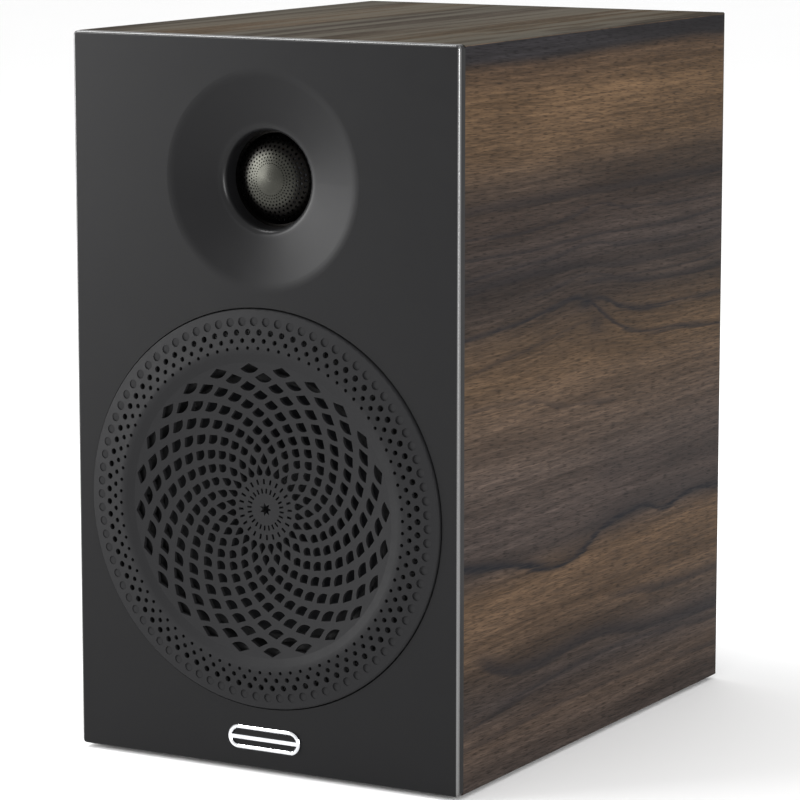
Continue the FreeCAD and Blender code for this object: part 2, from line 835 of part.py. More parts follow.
def woofer_cone():
    """The moving cone, with a flat rim under the surround."""
    land = cone_rim_radius - cone_land
    neck = former_radius + 0.2
    mid = (land + neck) / 2.0
    back = cone_thickness * 1.5
    return turned(
        woofer_height, (cone_rim_radius, lip_front), (land, lip_front),
        ((mid, cone_front(mid)), (neck, cone_neck_depth)), (neck, cone_neck_depth + back),
        ((mid, cone_front(mid) + back), (land, lip_front + cone_thickness)),
        (cone_rim_radius, lip_front + cone_thickness))


def dust_cap():
    """The domed cover over the voice coil."""
    edge = cone_front(dust_cap_radius) - 0.2
    crest = edge - dust_cap_rise
    inside = dust_cap_radius - dust_cap_wall
    under = crest + dust_cap_wall
    return turned(
        woofer_height, (0, crest), (cap_middle(crest, dust_cap_radius, edge), (dust_cap_radius, edge)),
        (inside, edge), (cap_middle(under, inside, edge), (0, under)))


def coil_former():
    """The thin tube that carries the winding."""
    front = cone_neck_depth - 1.0
    return tube(0, woofer_height, front, front + former_length, former_radius, former_radius - former_wall)


def voice_coil():
    """The winding on the former."""
    inside = former_radius + 0.02
    outside = former_radius + coil_thickness
    return tube(0, woofer_height, coil_depth, coil_depth + coil_length, outside, inside)


def spider():
    """The flexible disc that centres the coil, with its corrugations."""
    inside = former_radius + soft_gap
    outside = spider_shelf_radius - soft_gap
    back = spider_shelf_depth - soft_gap
    front = back - 0.6
    waves = 5
    span = (basket_neck_radius - basket_wall - inside - 4) / waves
    upper = [(inside, front)]
    lower = [(outside, back)]
    for index in range(waves):
        start = inside + 2 + index * span
        sign = 1 if index % 2 else -1
        upper.append((start, front))
        upper.append(((start + span / 2.0, front + sign * 0.9), (start + span, front)))
    for index in reversed(range(waves)):
        start = inside + 2 + index * span
        sign = 1 if index % 2 else -1
        lower.append((start + span, back))
        lower.append(((start + span / 2.0, back + sign * 0.9), (start, back)))
    return turned(woofer_height, upper[0], *upper[1:], (outside, front), *lower, (inside, back))


def woofer_motor():
    """The steel top plate, the ferrite ring and the back plate with its pole, by name."""
    gap_radius = former_radius + coil_thickness + magnetic_gap
    plate_back = basket_base_depth + top_plate_thickness
    magnet_back = plate_back + woofer_magnet_thickness
    back = magnet_back + back_plate_thickness
    yoke = turned(
        woofer_height, (pole_vent_radius, basket_base_depth), (pole_radius, basket_base_depth),
        (pole_radius, magnet_back), (top_plate_radius, magnet_back), (top_plate_radius, back - 1),
        (top_plate_radius - 1, back), (pole_vent_radius, back))
    return {
        "woofer_top_plate": tube(0, woofer_height, basket_base_depth, plate_back,
                                 top_plate_radius, gap_radius),
        "woofer_magnet": tube(0, woofer_height, plate_back, magnet_back,
                              woofer_magnet_radius, woofer_magnet_bore),
        "woofer_back_plate": yoke,
    }


def terminal_strip():
    """The small board with the driver's two tags, on the back of the spider shelf."""
    front = spider_shelf_depth + basket_wall
    high = woofer_height - basket_neck_radius - 1
    half = strip_width / 2.0
    return block(-half, half, front, front + strip_thickness, high - strip_length, high)


def strip_low():
    """The height of the terminal strip's lower edge."""
    return woofer_height - basket_neck_radius - 1 - strip_length


def tinsel_leads():
    """Two thin braided leads from the terminal strip through a window to the cone."""
    leads = []
    start_depth = spider_shelf_depth + basket_wall
    landing = 35.0
    for side in (-1, 1):
        x = side * 6.0
        points = [
            at(x, start_depth, strip_low() + 0.9),
            at(x, start_depth - 8, strip_low() + 0.9),
            at(x * 1.1, start_depth - 16, strip_low() + 5),
            at(x * 1.2, start_depth - 17.5, strip_low() + 12),
            at(x * 1.2, cone_front(landing) + 2.4, woofer_height - landing - 0.8),
        ]
        leads.append(wire_path("tinsel lead", points, tinsel_radius))
    return leads


def woofer_screws():
    """The driver's fixing screws, hidden under the trim ring."""
    return round_head_screws(woofer_screw_places(), flange_front, wood_screw_length,
                             wood_screw_radius, wood_screw_head_radius, wood_screw_head)


# ---- tweeter ----
def tweeter_lens():
    """The pressed metal guard: a dome with a plain middle, finely drilled out to its flat flange."""
    wall = tweeter_lens_thickness
    seat = throat_boss_depth()
    flange = throat_radius + tweeter_lens_flange
    (middle, middle_curve), (edge, edge_curve) = tweeter_lens_arcs()
    join = tweeter_lens_middle_slope
    end = tweeter_lens_edge_slope
    halfway = (join + end) / 2.0
    inside = arc_place(edge, edge_curve - wall, end)
    shell = turned(
        tweeter_height, (0, tweeter_lens_crest),
        (arc_place(middle, middle_curve, join / 2.0), arc_place(middle, middle_curve, join)),
        (arc_place(edge, edge_curve, halfway), arc_place(edge, edge_curve, end)),
        (flange, seat), (flange, seat + wall), (inside[0], seat + wall), inside,
        (arc_place(edge, edge_curve - wall, halfway), arc_place(edge, edge_curve - wall, join)),
        (arc_place(middle, middle_curve - wall, join / 2.0), (0, tweeter_lens_crest + wall)))
    holes = []
    pitch = 360.0 / tweeter_hole_count
    front = tweeter_lens_crest - 1
    for row, (circle, radius) in enumerate(tweeter_hole_rows):
        start = pitch * (row % 2) / 2.0
        holes += round_holes(tweeter_hole_count, circle, radius, start, tweeter_height, front)
    sieve = perforated_disc(flange + 1, tweeter_height, holes, front, seat + wall + 1)
    return shell.common(sieve)


def tweeter_faceplate():
    """The tweeter's front casting, screwed to the fascia's bosses."""
    front = throat_boss_depth() + tweeter_lens_thickness
    back = front + faceplate_thickness
    recess = back - surround_recess
    plate = turned(
        tweeter_height, (faceplate_throat + 2, front), (faceplate_radius, front), (faceplate_radius, back),
        (surround_recess_radius, back), (surround_recess_radius, recess), (faceplate_throat, recess))
    hole = small_screw_radius + screw_clearance
    return plate.cut(holes_for(tweeter_screw_places(), front - 1, back + 1, hole))


def faceplate_back():
    """The depth of the faceplate's rear face, where the top plate seats."""
    return throat_boss_depth() + tweeter_lens_thickness + faceplate_thickness


def tweeter_dome():
    """The dome itself."""
    edge = throat_boss_depth() + dome_setback
    crest = edge - dome_rise
    inside = dome_radius - dome_thickness
    under = crest + dome_thickness
    return turned(
        tweeter_height, (0, crest), (cap_middle(crest, dome_radius, edge), (dome_radius, edge)),
        (inside, edge), (cap_middle(under, inside, edge), (0, under)))


def dome_surround():
    """The small soft roll round the dome."""
    inside = dome_radius + soft_gap * 0.4
    roll_end = inside + 2 * dome_roll
    land = surround_recess_radius - soft_gap
    back = faceplate_back() - soft_gap
    front = back - 0.4
    centre = inside + dome_roll
    return turned(
        tweeter_height, (inside, front), ((centre, front - dome_roll * 0.6), (roll_end, front)),
        (land, front), (land, back), (roll_end, back),
        ((centre, back - dome_roll * 0.6), (inside, back)))


def tweeter_coil():
    """The tweeter's former and winding, as one wound part."""
    front = throat_boss_depth() + dome_setback + 0.02
    wound_from = faceplate_back() + 0.3
    wound_to = wound_from + tweeter_coil_length
    former = dome_radius
    outer = former + tweeter_coil_thickness
    inside = former - tweeter_former_wall
    return turned(
        tweeter_height, (inside, front), (former, front), (former, wound_from), (outer, wound_from),
        (outer, wound_to), (inside, wound_to))


def tweeter_motor():
    """The tweeter's top plate, magnet ring, yoke with pole, and closed rear chamber, by name."""
    front = faceplate_back()
    gap_radius = dome_radius + tweeter_coil_thickness + tweeter_gap
    plate_back = front + tweeter_plate_thickness
    magnet_back = plate_back + tweeter_magnet_thickness
    yoke_back = magnet_back + tweeter_yoke_thickness
    pole_front = front + 0.5
    yoke = turned(
        tweeter_height, (tweeter_vent_radius, pole_front), (tweeter_pole_radius, pole_front),
        (tweeter_pole_radius, magnet_back), (tweeter_plate_radius, magnet_back),
        (tweeter_plate_radius, yoke_back), (tweeter_vent_radius, yoke_back))
    chamber_inner = chamber_radius - chamber_wall
    chamber_back = yoke_back + chamber_length
    chamber = turned(
        tweeter_height, (chamber_inner, yoke_back), (chamber_radius, yoke_back),
        (chamber_radius, chamber_back - chamber_wall), (chamber_radius - chamber_wall, chamber_back),
        (0, chamber_back), (0, chamber_back - chamber_wall), (chamber_inner, chamber_back - chamber_wall))
    return {
        "tweeter_top_plate": tube(0, tweeter_height, front, plate_back, tweeter_plate_radius, gap_radius),
        "tweeter_magnet": tube(0, tweeter_height, plate_back, magnet_back,
                               tweeter_plate_radius - 1, tweeter_magnet_bore),
        "tweeter_yoke": yoke,
        "tweeter_chamber": chamber,
    }


def tweeter_screws():
    """Three screws from behind, through the faceplate into the fascia's bosses."""
    seat = faceplate_back()
    screws = []
    for x, height in tweeter_screw_places():
        shank = rod(x, height, seat - faceplate_thickness - plate_screw_length, seat, small_screw_radius)
        cap = rod(x, height, seat, seat + small_screw_head, small_screw_head_radius)
        screws.append(shank.fuse(cap).removeSplitter())
    return screws


# ---- back of the cabinet ----
def port_tube():
    """The flared reflex port, with a flange let into the rear board."""
    bore = port_bore
    outer = bore + port_wall
    inner_end = cabinet_depth - port_length
    back = cabinet_depth
    flange_front_depth = back - port_flange_thickness
    quarter = port_flare * (1.0 - math.sqrt(0.5))
    outer_flare = port_flare - 1.0
    outer_quarter = outer_flare * (1.0 - math.sqrt(0.5))
    inner_lip = inner_end + port_wall
    flange_lip = flange_front_depth - port_wall
    return turned(
        port_height, (bore + port_flare, back),
        ((bore + quarter, back - quarter), (bore, back - port_flare)),
        (bore, inner_end + port_flare),
        ((bore + quarter, inner_end + quarter), (bore + port_flare, inner_end)),
        (bore + port_flare, inner_lip),
        ((outer + outer_quarter, inner_lip + outer_quarter), (outer, inner_lip + outer_flare)),
        (outer, flange_lip - outer_flare),
        ((outer + outer_quarter, flange_lip - outer_quarter), (outer + outer_flare, flange_lip)),
        (outer + outer_flare, flange_front_depth), (port_flange_radius, flange_front_depth),
        (port_flange_radius, back - 0.6), (port_flange_radius - 0.6, back))


def post_places():
    """The x of the two binding posts, as (side, x)."""
    half = post_spacing / 2.0
    return [("black", -half), ("red", half)]


def terminal_cup():
    """The recessed plastic cup that carries the binding posts."""
    plate = rounded_slab(cup_plate_width, cup_plate_height, cup_plate_corner, cup_height,
                         cabinet_depth - cup_plate_thickness, cabinet_depth)
    rim = [edge for edge in plate.Edges if edge.BoundBox.YMin > front_y + cabinet_depth - 1e-3]
    plate = plate.makeFillet(0.8, rim)
    shell = rounded_slab(cup_pocket_width + 2 * cup_wall, cup_pocket_height + 2 * cup_wall,
                         cup_pocket_corner + cup_wall, cup_height, cup_floor - cup_wall, cabinet_depth - 1)
    pocket = rounded_slab(cup_pocket_width, cup_pocket_height, cup_pocket_corner, cup_height,
                          cup_floor, cabinet_depth + 1)
    bores = [rod(x, cup_height, cup_floor - cup_wall - 1, cup_floor + 1, stud_radius + screw_clearance)
             for side, x in post_places()]
    seat = cabinet_depth - small_screw_head
    hole = small_screw_radius + screw_clearance
    recess = small_screw_head_radius + 4 * screw_clearance
    through = holes_for(cup_screw_places(), seat - cup_plate_thickness, seat + 1, hole)
    heads = holes_for(cup_screw_places(), seat, cabinet_depth + 1, recess)
    return plate.fuse(shell).cut([pocket] + bores + through + heads).removeSplitter()


def cup_gasket():
    """The foam gasket behind the cup's plate."""
    back = cabinet_depth - cup_plate_thickness
    front = back - cup_gasket_thickness
    pad = rounded_slab(cup_plate_width, cup_plate_height, cup_plate_corner, cup_height, front, back)
    opening = rounded_slab(cup_pocket_width + 2 * (cup_wall + cup_clearance),
                           cup_pocket_height + 2 * (cup_wall + cup_clearance),
                           cup_pocket_corner + cup_wall + cup_clearance, cup_height, front - 1, back + 1)
    holes = holes_for(cup_screw_places(), front - 1, back + 1, small_screw_radius + screw_clearance)
    return pad.cut([opening] + holes)


def cup_screws():
    """Four screws, heads sunk flush with the cup's plate, each with a cross slot."""
    screws = []
    seat = cabinet_depth - small_screw_head
    for x, height in cup_screw_places():
        shank = rod(x, height, seat - small_screw_length, seat, small_screw_radius)
        cap = rod(x, height, seat, cabinet_depth, small_screw_head_radius)
        arm = small_screw_head_radius * 0.6
        half = cross_slot_width / 2.0
        slots = []
        for across, up in ((arm, half), (half, arm)):
            slots.append(block(x - across, x + across, cabinet_depth - cross_slot_depth, cabinet_depth + 1,
                               height - up, height + up))
        screws.append(shank.fuse(cap).cut(slots).removeSplitter())
    return screws


def post_studs():
    """The two fixed brass studs: a collar, a cross hole for bare wire and a banana socket."""
    studs = []
    for side, x in post_places():
        stud = rod(x, cup_height, cup_floor - stud_tail, cup_floor + stud_length, stud_radius)
        collar_front = cup_floor + bush_thickness
        collar = rod(x, cup_height, collar_front, collar_front + collar_thickness, collar_radius)
        tip = cup_floor + stud_length
        socket = rod(x, cup_height, tip - banana_depth, tip + 1, banana_bore)
        hole_depth = collar_front + collar_thickness + wire_hole_radius + 0.3
        start = at(x, hole_depth, cup_height - 2 * stud_radius)
        cross = Part.makeCylinder(wire_hole_radius, 4 * stud_radius, start, upwards)
        studs.append(stud.fuse(collar).cut([socket, cross]).removeSplitter())
    return studs


def post_bushes():
    """The insulating ring under each stud's collar."""
    hole = stud_radius + screw_clearance
    back = cup_floor + bush_thickness
    return [tube(x, cup_height, cup_floor, back, bush_radius, hole) for side, x in post_places()]


def post_nuts():
    """The hexagonal nuts that hold the studs from inside."""
    nuts = []
    front = cup_floor - cup_wall - lug_thickness - nut_thickness
    for side, x in post_places():
        reach = nut_across_corners / 2.0
        corners = [around(reach, index * 60.0, front, cup_height, x) for index in range(6)]
        body = Part.Face(outline(corners[0], *corners[1:])).extrude(backwards * nut_thickness)
        bore = rod(x, cup_height, front - 1, front + nut_thickness + 1, stud_radius + screw_clearance)
        nuts.append(sound(body).cut(bore))
    return nuts


def solder_lugs():
    """The tags clamped under the nuts, each with a tail for its lead."""
    lugs = []
    back = cup_floor - cup_wall
    front = back - lug_thickness
    for side, x in post_places():
        half = lug_width / 2.0
        eye = rod(x, cup_height, front, back, lug_radius)
        tail = block(x - half, x + half, front, back, cup_height - lug_length, cup_height)
        bore = rod(x, cup_height, front - 1, back + 1, stud_radius + screw_clearance)
        lugs.append(eye.fuse(tail).cut(bore).removeSplitter())
    return lugs


def clamp_washer(x):
    """The captive washer that the knob presses on the wire."""
    front = cup_floor + bush_thickness + collar_thickness + washer_gap
    bore = stud_radius + thread_clearance
    return tube(x, cup_height, front, front + washer_thickness, washer_radius, bore)


def knob_front():
    """The depth of a knob's inner end when it is screwed down."""
    return cup_floor + bush_thickness + collar_thickness + 2 * washer_gap + washer_thickness


def knob_insert(x):
    """The threaded metal core of a knob."""
    front = knob_front()
    back = front + knob_length - insert_setback
    return tube(x, cup_height, front, back, insert_radius, stud_radius + thread_clearance)


def knob(x):
    """The fluted plastic sleeve of a knob."""
    front = knob_front() + insert_setback
    back = knob_front() + knob_length
    sleeve = rod(x, cup_height, front, back, knob_radius)
    ends = [edge for edge in sleeve.Edges if edge.BoundBox.YMax - edge.BoundBox.YMin < 1e-3]
    sleeve = sleeve.makeFillet(0.8, ends)
    cutters = []
    flute_circle = knob_radius + knob_flute_radius * 0.35
    for index in range(knob_flutes):
        centre = around(flute_circle, index * 360.0 / knob_flutes, 0, cup_height, x)
        height = centre.z - foot_height
        cutters.append(rod(centre.x, height, front + 2.5, back - 2.0, knob_flute_radius))
    bore = rod(x, cup_height, front - 1, back - insert_setback, insert_radius)
    mouth = rod(x, cup_height, front, back + 1, stud_radius + thread_clearance)
    return sleeve.cut(cutters + [bore, mouth])


# ---- crossover and wiring ----
def board_screw_places():
    """Where the board's screws stand, as (x, depth)."""
    x = board_width / 2.0 - board_screw_inset
    front = board_depth + board_screw_inset
    back = board_depth + board_length - board_screw_inset
    return [(side * x, depth) for side in (-1, 1) for depth in (front, back)]


def upright(x, depth, low, high, radius):
    """A cylinder along Z."""
    return Part.makeCylinder(radius, high - low, at(x, depth, low), upwards)


def crossover_board():
    """The hardboard plate that carries the crossover."""
    half = board_width / 2.0
    board = block(-half, half, board_depth, board_depth + board_length, panel_thickness, board_top)
    hole = small_screw_radius + screw_clearance
    return board.cut([upright(x, depth, 0, board_top + 1, hole) for x, depth in board_screw_places()])


def board_screws():
    """Four screws down through the board into the bottom panel."""
    screws = []
    for x, depth in board_screw_places():
        shank = upright(x, depth, board_top - small_screw_length, board_top, small_screw_radius)
        cap = upright(x, depth, board_top, board_top + small_screw_head, small_screw_head_radius)
        screws.append(shank.fuse(cap).removeSplitter())
    return screws


def drilled_bottom_panel(panel):
    """The bottom panel with pilot holes for the board's screws."""
    low = board_top - small_screw_length - screw_clearance
    hole = small_screw_radius + screw_clearance
    return panel.cut([upright(x, depth, low, board_top, hole) for x, depth in board_screw_places()])


def wound_coil(x, depth, radius, length):
    """A flat air-cored coil standing on the board, with its edges rounded."""
    body = upright(x, depth, board_top, board_top + length, radius)
    body = body.makeFillet(radius * 0.12, [edge for edge in body.Edges if len(edge.Vertexes) == 1])
    return body.cut(upright(x, depth, board_top - 1, board_top + length + 1, radius * coil_bore_share))


def low_pass_coil():
    """The bass driver's series coil."""
    depth = board_depth + board_length * 0.32
    return wound_coil(-board_width / 4.0, depth, low_pass_radius, low_pass_length)


def high_pass_coil():
    """The tweeter's shunt coil."""
    depth = board_depth + board_length * 0.24
    return wound_coil(board_width / 4.0, depth, high_pass_radius, high_pass_length)


def capacitors():
    """Three film capacitors lying on the board."""
    cans = []
    left = board_screw_inset + 2 * small_screw_head_radius - board_width / 2.0
    for index in range(3):
        x = component_gap if index == 0 else left
        row = 1.3 if index == 0 else 2.0 - index
        depth = board_depth + board_length - 10.0 - row * (2 * capacitor_radius + 1.5)
        start = at(x, depth, board_top + capacitor_radius)
        can = Part.makeCylinder(capacitor_radius, capacitor_length, start, FreeCAD.Vector(1, 0, 0))
        ends = [edge for edge in can.Edges if edge.BoundBox.XMax - edge.BoundBox.XMin < 1e-3]
        cans.append(can.makeFillet(1.0, ends))
    return cans


def resistors():
    """Two square ceramic resistors lying on the board."""
    bars = []
    for index in range(2):
        x = component_gap
        depth = board_depth + board_length - 12.0 - index * (resistor_side + 3.5)
        back = depth + resistor_side
        bars.append(block(x, x + resistor_length, depth, back, board_top, board_top + resistor_side))
    return bars


def input_leads():
    """From each binding post's lug down to the board's rear edge."""
    leads = []
    lug_middle = cup_floor - cup_wall - lead_radius - screw_clearance
    lug_low = cup_height - lug_length
    landing = board_depth + board_length - 3.0
    for side, x in post_places():
        points = [
            at(x, lug_middle, lug_low),
            at(x, lug_middle, lug_low - 11),
            at(x * 0.55, (lug_middle + landing) / 2.0, lug_low - 20),
            at(x * 0.35, landing, board_top + 9),
            at(x * 0.35, landing, board_top),
        ]
        leads.append(wire_path(f"{side} input lead", points, lead_radius))
    return leads


def woofer_lead(side):
    """From the board's front edge forward and up to one tag of the terminal strip."""
    x = side * 6.0
    strip_middle = spider_shelf_depth + basket_wall + strip_thickness / 2.0
    return [
        at(x, board_depth + 4, board_top),
        at(x, board_depth + 4, board_top + 20),
        at(x * 1.3, board_depth - 12, board_top + 34),
        at(x * 1.5, board_depth - 38, board_top + 39),
        at(x * 1.4, board_depth - 64, board_top + 34),
        at(x * 1.1, strip_middle + 14, board_top + 29),
        at(x, strip_middle, board_top + 38),
        at(x, strip_middle, strip_low()),
    ]


def tweeter_lead(index):
    """From the board's side up past the bass driver to the back of the tweeter's faceplate."""
    offset = index * lead_spacing
    degrees = -21.0 + index * 13.0
    reach = tweeter_plate_radius + lead_radius + lead_room
    end = around(reach, degrees, faceplate_back(), tweeter_height)
    end_height = end.z - foot_height
    start_x = board_width / 2.0 - 4.0
    start_depth = board_depth + 30.0 + offset
    bend_depth = start_depth - 18.0
    turn_depth = faceplate_back() + 17.0
    forward = bend_depth - offset - turn_depth
    bend_height = board_top + 62.0
    top_height = end_height - 18.0 + index * 2.0
    route = []
    for x, share_forward, share_up in ((52.0, 0.0, 0.0), (56.0, 0.2, 0.25), (55.0, 0.5, 0.48),
                                       (50.0, 0.72, 0.7), (40.0, 0.92, 1.0)):
        height = bend_height + (top_height - bend_height) * share_up
        route.append(at(x, bend_depth - forward * share_forward, height))
    return [
        at(start_x, start_depth, board_top),
        at(start_x, start_depth, board_top + 26.0),
        *route,
        at(end.x, turn_depth, end_height),
        at(end.x, faceplate_back(), end_height),
    ]


def driver_leads():
    """The two pairs of leads from the board to the drivers."""
    leads = [wire_path("woofer lead", woofer_lead(side), lead_radius) for side in (-1, 1)]
    leads += [wire_path("tweeter lead", tweeter_lead(index), lead_radius) for index in (0, 1)]
    return leads


def all_parts():
    """Every node's solids, by name."""
    parts = cabinet_panels()
    parts["bottom_panel"] = drilled_bottom_panel(parts["bottom_panel"])
    parts.update(woofer_motor())
    parts.update(tweeter_motor())
    for maker in (front_fascia, inner_baffle, back_panel, window_brace, side_wadding, rubber_feet,
                  grille_magnets, badge, driver_grille, woofer_basket, woofer_gasket,
                  woofer_surround, woofer_cone, dust_cap, coil_former, voice_coil, spider,
                  terminal_strip, tinsel_leads, woofer_screws, tweeter_lens, tweeter_faceplate,
                  tweeter_dome, dome_surround, tweeter_coil, tweeter_screws, port_tube,
                  terminal_cup, cup_gasket, cup_screws, post_studs, post_bushes, post_nuts,
                  solder_lugs, crossover_board, board_screws, low_pass_coil, high_pass_coil,
                  capacitors, resistors, input_leads, driver_leads):
        parts[maker.__name__] = maker()
    for side, x in post_places():
        parts[f"{side}_clamp_washer"] = clamp_washer(x)
        parts[f"{side}_knob_insert"] = knob_insert(x)
        parts[f"{side}_knob"] = knob(x)
    return parts


os.makedirs("parts", exist_ok=True)
for name, shape in all_parts().items():
    if isinstance(shape, list):
        shape = Part.makeCompound(shape)
    shape.exportStep(f"parts/{name}.step")
    print(f"{name}: {len(shape.Solids)} solids, {shape.Volume:.0f} mm3, valid {shape.isValid()}")
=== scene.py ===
"""The looks of a two-way bookshelf speaker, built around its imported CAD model. Metres; the front faces -Y."""
import math

import bmesh
import bpy
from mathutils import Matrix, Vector


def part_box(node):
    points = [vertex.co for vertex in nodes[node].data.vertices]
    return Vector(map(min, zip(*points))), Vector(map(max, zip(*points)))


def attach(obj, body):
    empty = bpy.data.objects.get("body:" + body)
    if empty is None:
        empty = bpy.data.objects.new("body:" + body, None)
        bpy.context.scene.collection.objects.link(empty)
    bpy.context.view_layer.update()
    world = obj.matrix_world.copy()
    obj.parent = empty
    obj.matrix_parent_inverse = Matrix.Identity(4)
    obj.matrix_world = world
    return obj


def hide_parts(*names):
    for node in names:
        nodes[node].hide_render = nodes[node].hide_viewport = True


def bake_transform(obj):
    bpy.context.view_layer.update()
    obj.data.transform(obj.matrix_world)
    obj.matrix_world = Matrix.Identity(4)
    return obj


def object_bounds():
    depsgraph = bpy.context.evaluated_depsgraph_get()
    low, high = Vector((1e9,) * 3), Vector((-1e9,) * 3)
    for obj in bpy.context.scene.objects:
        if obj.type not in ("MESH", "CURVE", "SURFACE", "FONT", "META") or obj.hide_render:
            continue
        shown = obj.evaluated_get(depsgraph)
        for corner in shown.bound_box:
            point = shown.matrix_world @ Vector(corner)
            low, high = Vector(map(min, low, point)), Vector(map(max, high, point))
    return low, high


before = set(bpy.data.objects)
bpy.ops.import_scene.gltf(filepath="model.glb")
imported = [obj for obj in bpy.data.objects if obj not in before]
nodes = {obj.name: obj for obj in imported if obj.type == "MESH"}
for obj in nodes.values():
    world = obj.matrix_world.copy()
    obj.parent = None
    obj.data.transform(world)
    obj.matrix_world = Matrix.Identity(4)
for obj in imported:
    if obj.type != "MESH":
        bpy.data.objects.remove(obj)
cad_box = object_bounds()
low, high = cad_box


# ---- material building ----
class Look:
    """A procedural material; distances inside it are in millimetres."""

    def __init__(self, name, **sockets):
        self.slot = name
        self.material = bpy.data.materials.new(name)
        self.material.use_nodes = True
        self.tree = self.material.node_tree
        self.shader = self.tree.nodes["Principled BSDF"]
        for socket, value in sockets.items():
            self.shader.inputs[socket.replace("_", " ")].default_value = value
        self.position = self.node("ShaderNodeTexCoord").outputs["Object"]
        scaled = self.node("ShaderNodeVectorMath", operation="SCALE")
        scaled.inputs["Scale"].default_value = 1000.0
        self.link(self.position, scaled.inputs[0])
        self.mm = scaled.outputs["Vector"]
        self.heights = []

    def node(self, kind, **settings):
        made = self.tree.nodes.new(kind)
        for name, value in settings.items():
            setattr(made, name, value)
        return made

    def link(self, source, target):
        self.tree.links.new(source, target)

    def feed(self, value, socket):
        """Sets a socket from a number, a colour or another node's output."""
        if isinstance(value, bpy.types.NodeSocket):
            self.link(value, socket)
        else:
            socket.default_value = value

    def math(self, operation, first, second=0.0, third=0.0):
        """One arithmetic step on numbers or node outputs."""
        made = self.node("ShaderNodeMath", operation=operation)
        for value, socket in zip((first, second, third), made.inputs):
            self.feed(value, socket)
        return made.outputs[0]

    def times(self, first, second):
        return self.math("MULTIPLY", first, second)

    def minus(self, first, second):
        return self.math("SUBTRACT", first, second)

    def hump(self, value):
        """A bell curve, 1 where the value is 0."""
        square = self.math("MULTIPLY", value, value)
        return self.math("EXPONENT", self.math("MULTIPLY", square, -1.0))

    def length(self, first, second):
        """The length of a flat vector."""
        square = self.math("MULTIPLY", first, first)
        return self.math("SQRT", self.math("MULTIPLY_ADD", second, second, square))

    def between(self, share, first, second):
        """A number part of the way from the first to the second."""
        return self.math("MULTIPLY_ADD", share, self.math("SUBTRACT", second, first), first)

    def split(self, vector=None):
        made = self.node("ShaderNodeSeparateXYZ")
        self.link(vector or self.mm, made.inputs[0])
        return made.outputs

    def join(self, x, y, z):
        made = self.node("ShaderNodeCombineXYZ")
        for value, socket in zip((x, y, z), made.inputs):
            self.feed(value, socket)
        return made.outputs[0]

    def scaled(self, stretch, vector=None):
        made = self.node("ShaderNodeVectorMath", operation="MULTIPLY")
        self.link(vector or self.mm, made.inputs[0])
        made.inputs[1].default_value = stretch
        return made.outputs[0]

    def noise(self, size, stretch=(1, 1, 1), detail=3.0, rough=0.55, vector=None):
        """Noise with features of about this size; stretch above 1 makes them finer along that axis."""
        made = self.node("ShaderNodeTexNoise")
        self.link(self.scaled(stretch, vector), made.inputs["Vector"])
        made.inputs["Scale"].default_value = 1.0 / size
        made.inputs["Detail"].default_value = detail
        made.inputs["Roughness"].default_value = rough
        return made.outputs["Fac"]

    def spread(self, value, low_from, high_from, low_to=0.0, high_to=1.0, smooth=True):
        """Stretches a value's range to another one, and clamps it."""
        made = self.node("ShaderNodeMapRange")
        made.interpolation_type = "SMOOTHSTEP" if smooth else "LINEAR"
        for given, name in ((value, "Value"), (low_from, "From Min"), (high_from, "From Max"),
                            (low_to, "To Min"), (high_to, "To Max")):
            self.feed(given, made.inputs[name])
        return made.outputs["Result"]

    def blend(self, share, first, second, mode="MIX"):
        """Mixes two colours."""
        made = self.node("ShaderNodeMix", data_type="RGBA", blend_type=mode)
        self.feed(share, made.inputs["Factor"])
        self.feed(first, made.inputs[6])
        self.feed(second, made.inputs[7])
        return made.outputs[2]

    def ramp(self, value, *stops):
        """A colour ramp from (place, colour) stops."""
        made = self.node("ShaderNodeValToRGB")
        line = made.color_ramp.elements
        while len(line) < len(stops):
            line.new(0.5)
        for element, (place, colour) in zip(line, stops):
            element.position = place
            element.color = colour
        self.feed(value, made.inputs[0])
        return made.outputs[0]

    def curve(self, value, *points):
        """A smooth line through (x, y) points, both from 0 to 1."""
        made = self.node("ShaderNodeFloatCurve")
        line = made.mapping.curves[0]
        while len(line.points) < len(points):
            line.points.new(0.5, 0.5)
        for point, place in zip(line.points, points):
            point.location = place
        made.mapping.update()
        self.feed(value, made.inputs["Value"])
        return made.outputs[0]

    def colour(self, value):
        self.feed(value, self.shader.inputs["Base Color"])

    def rough(self, value):
        self.feed(value, self.shader.inputs["Roughness"])

    def bump(self, height, depth):
        """Adds relief; depth is in millimetres for a height of 1."""
        made = self.node("ShaderNodeBump")
        made.inputs["Strength"].default_value = 1.0
        made.inputs["Distance"].default_value = depth / 1000.0
        self.link(height, made.inputs["Height"])
        if self.heights:
            self.link(self.heights[-1], made.inputs["Normal"])
        self.heights.append(made.outputs["Normal"])
        self.link(self.heights[-1], self.shader.inputs["Normal"])


def tone(red, green, blue):
    """A colour from its screen values, 0 to 255."""
    def linear(value):
        share = value / 255.0
        return share / 12.92 if share <= 0.04045 else ((share + 0.055) / 1.055) ** 2.4
    return (linear(red), linear(green), linear(blue), 1.0)


def box_mm(node):
    """A CAD node's two corners in millimetres, as the materials measure."""
    return [1000.0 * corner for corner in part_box(node)]


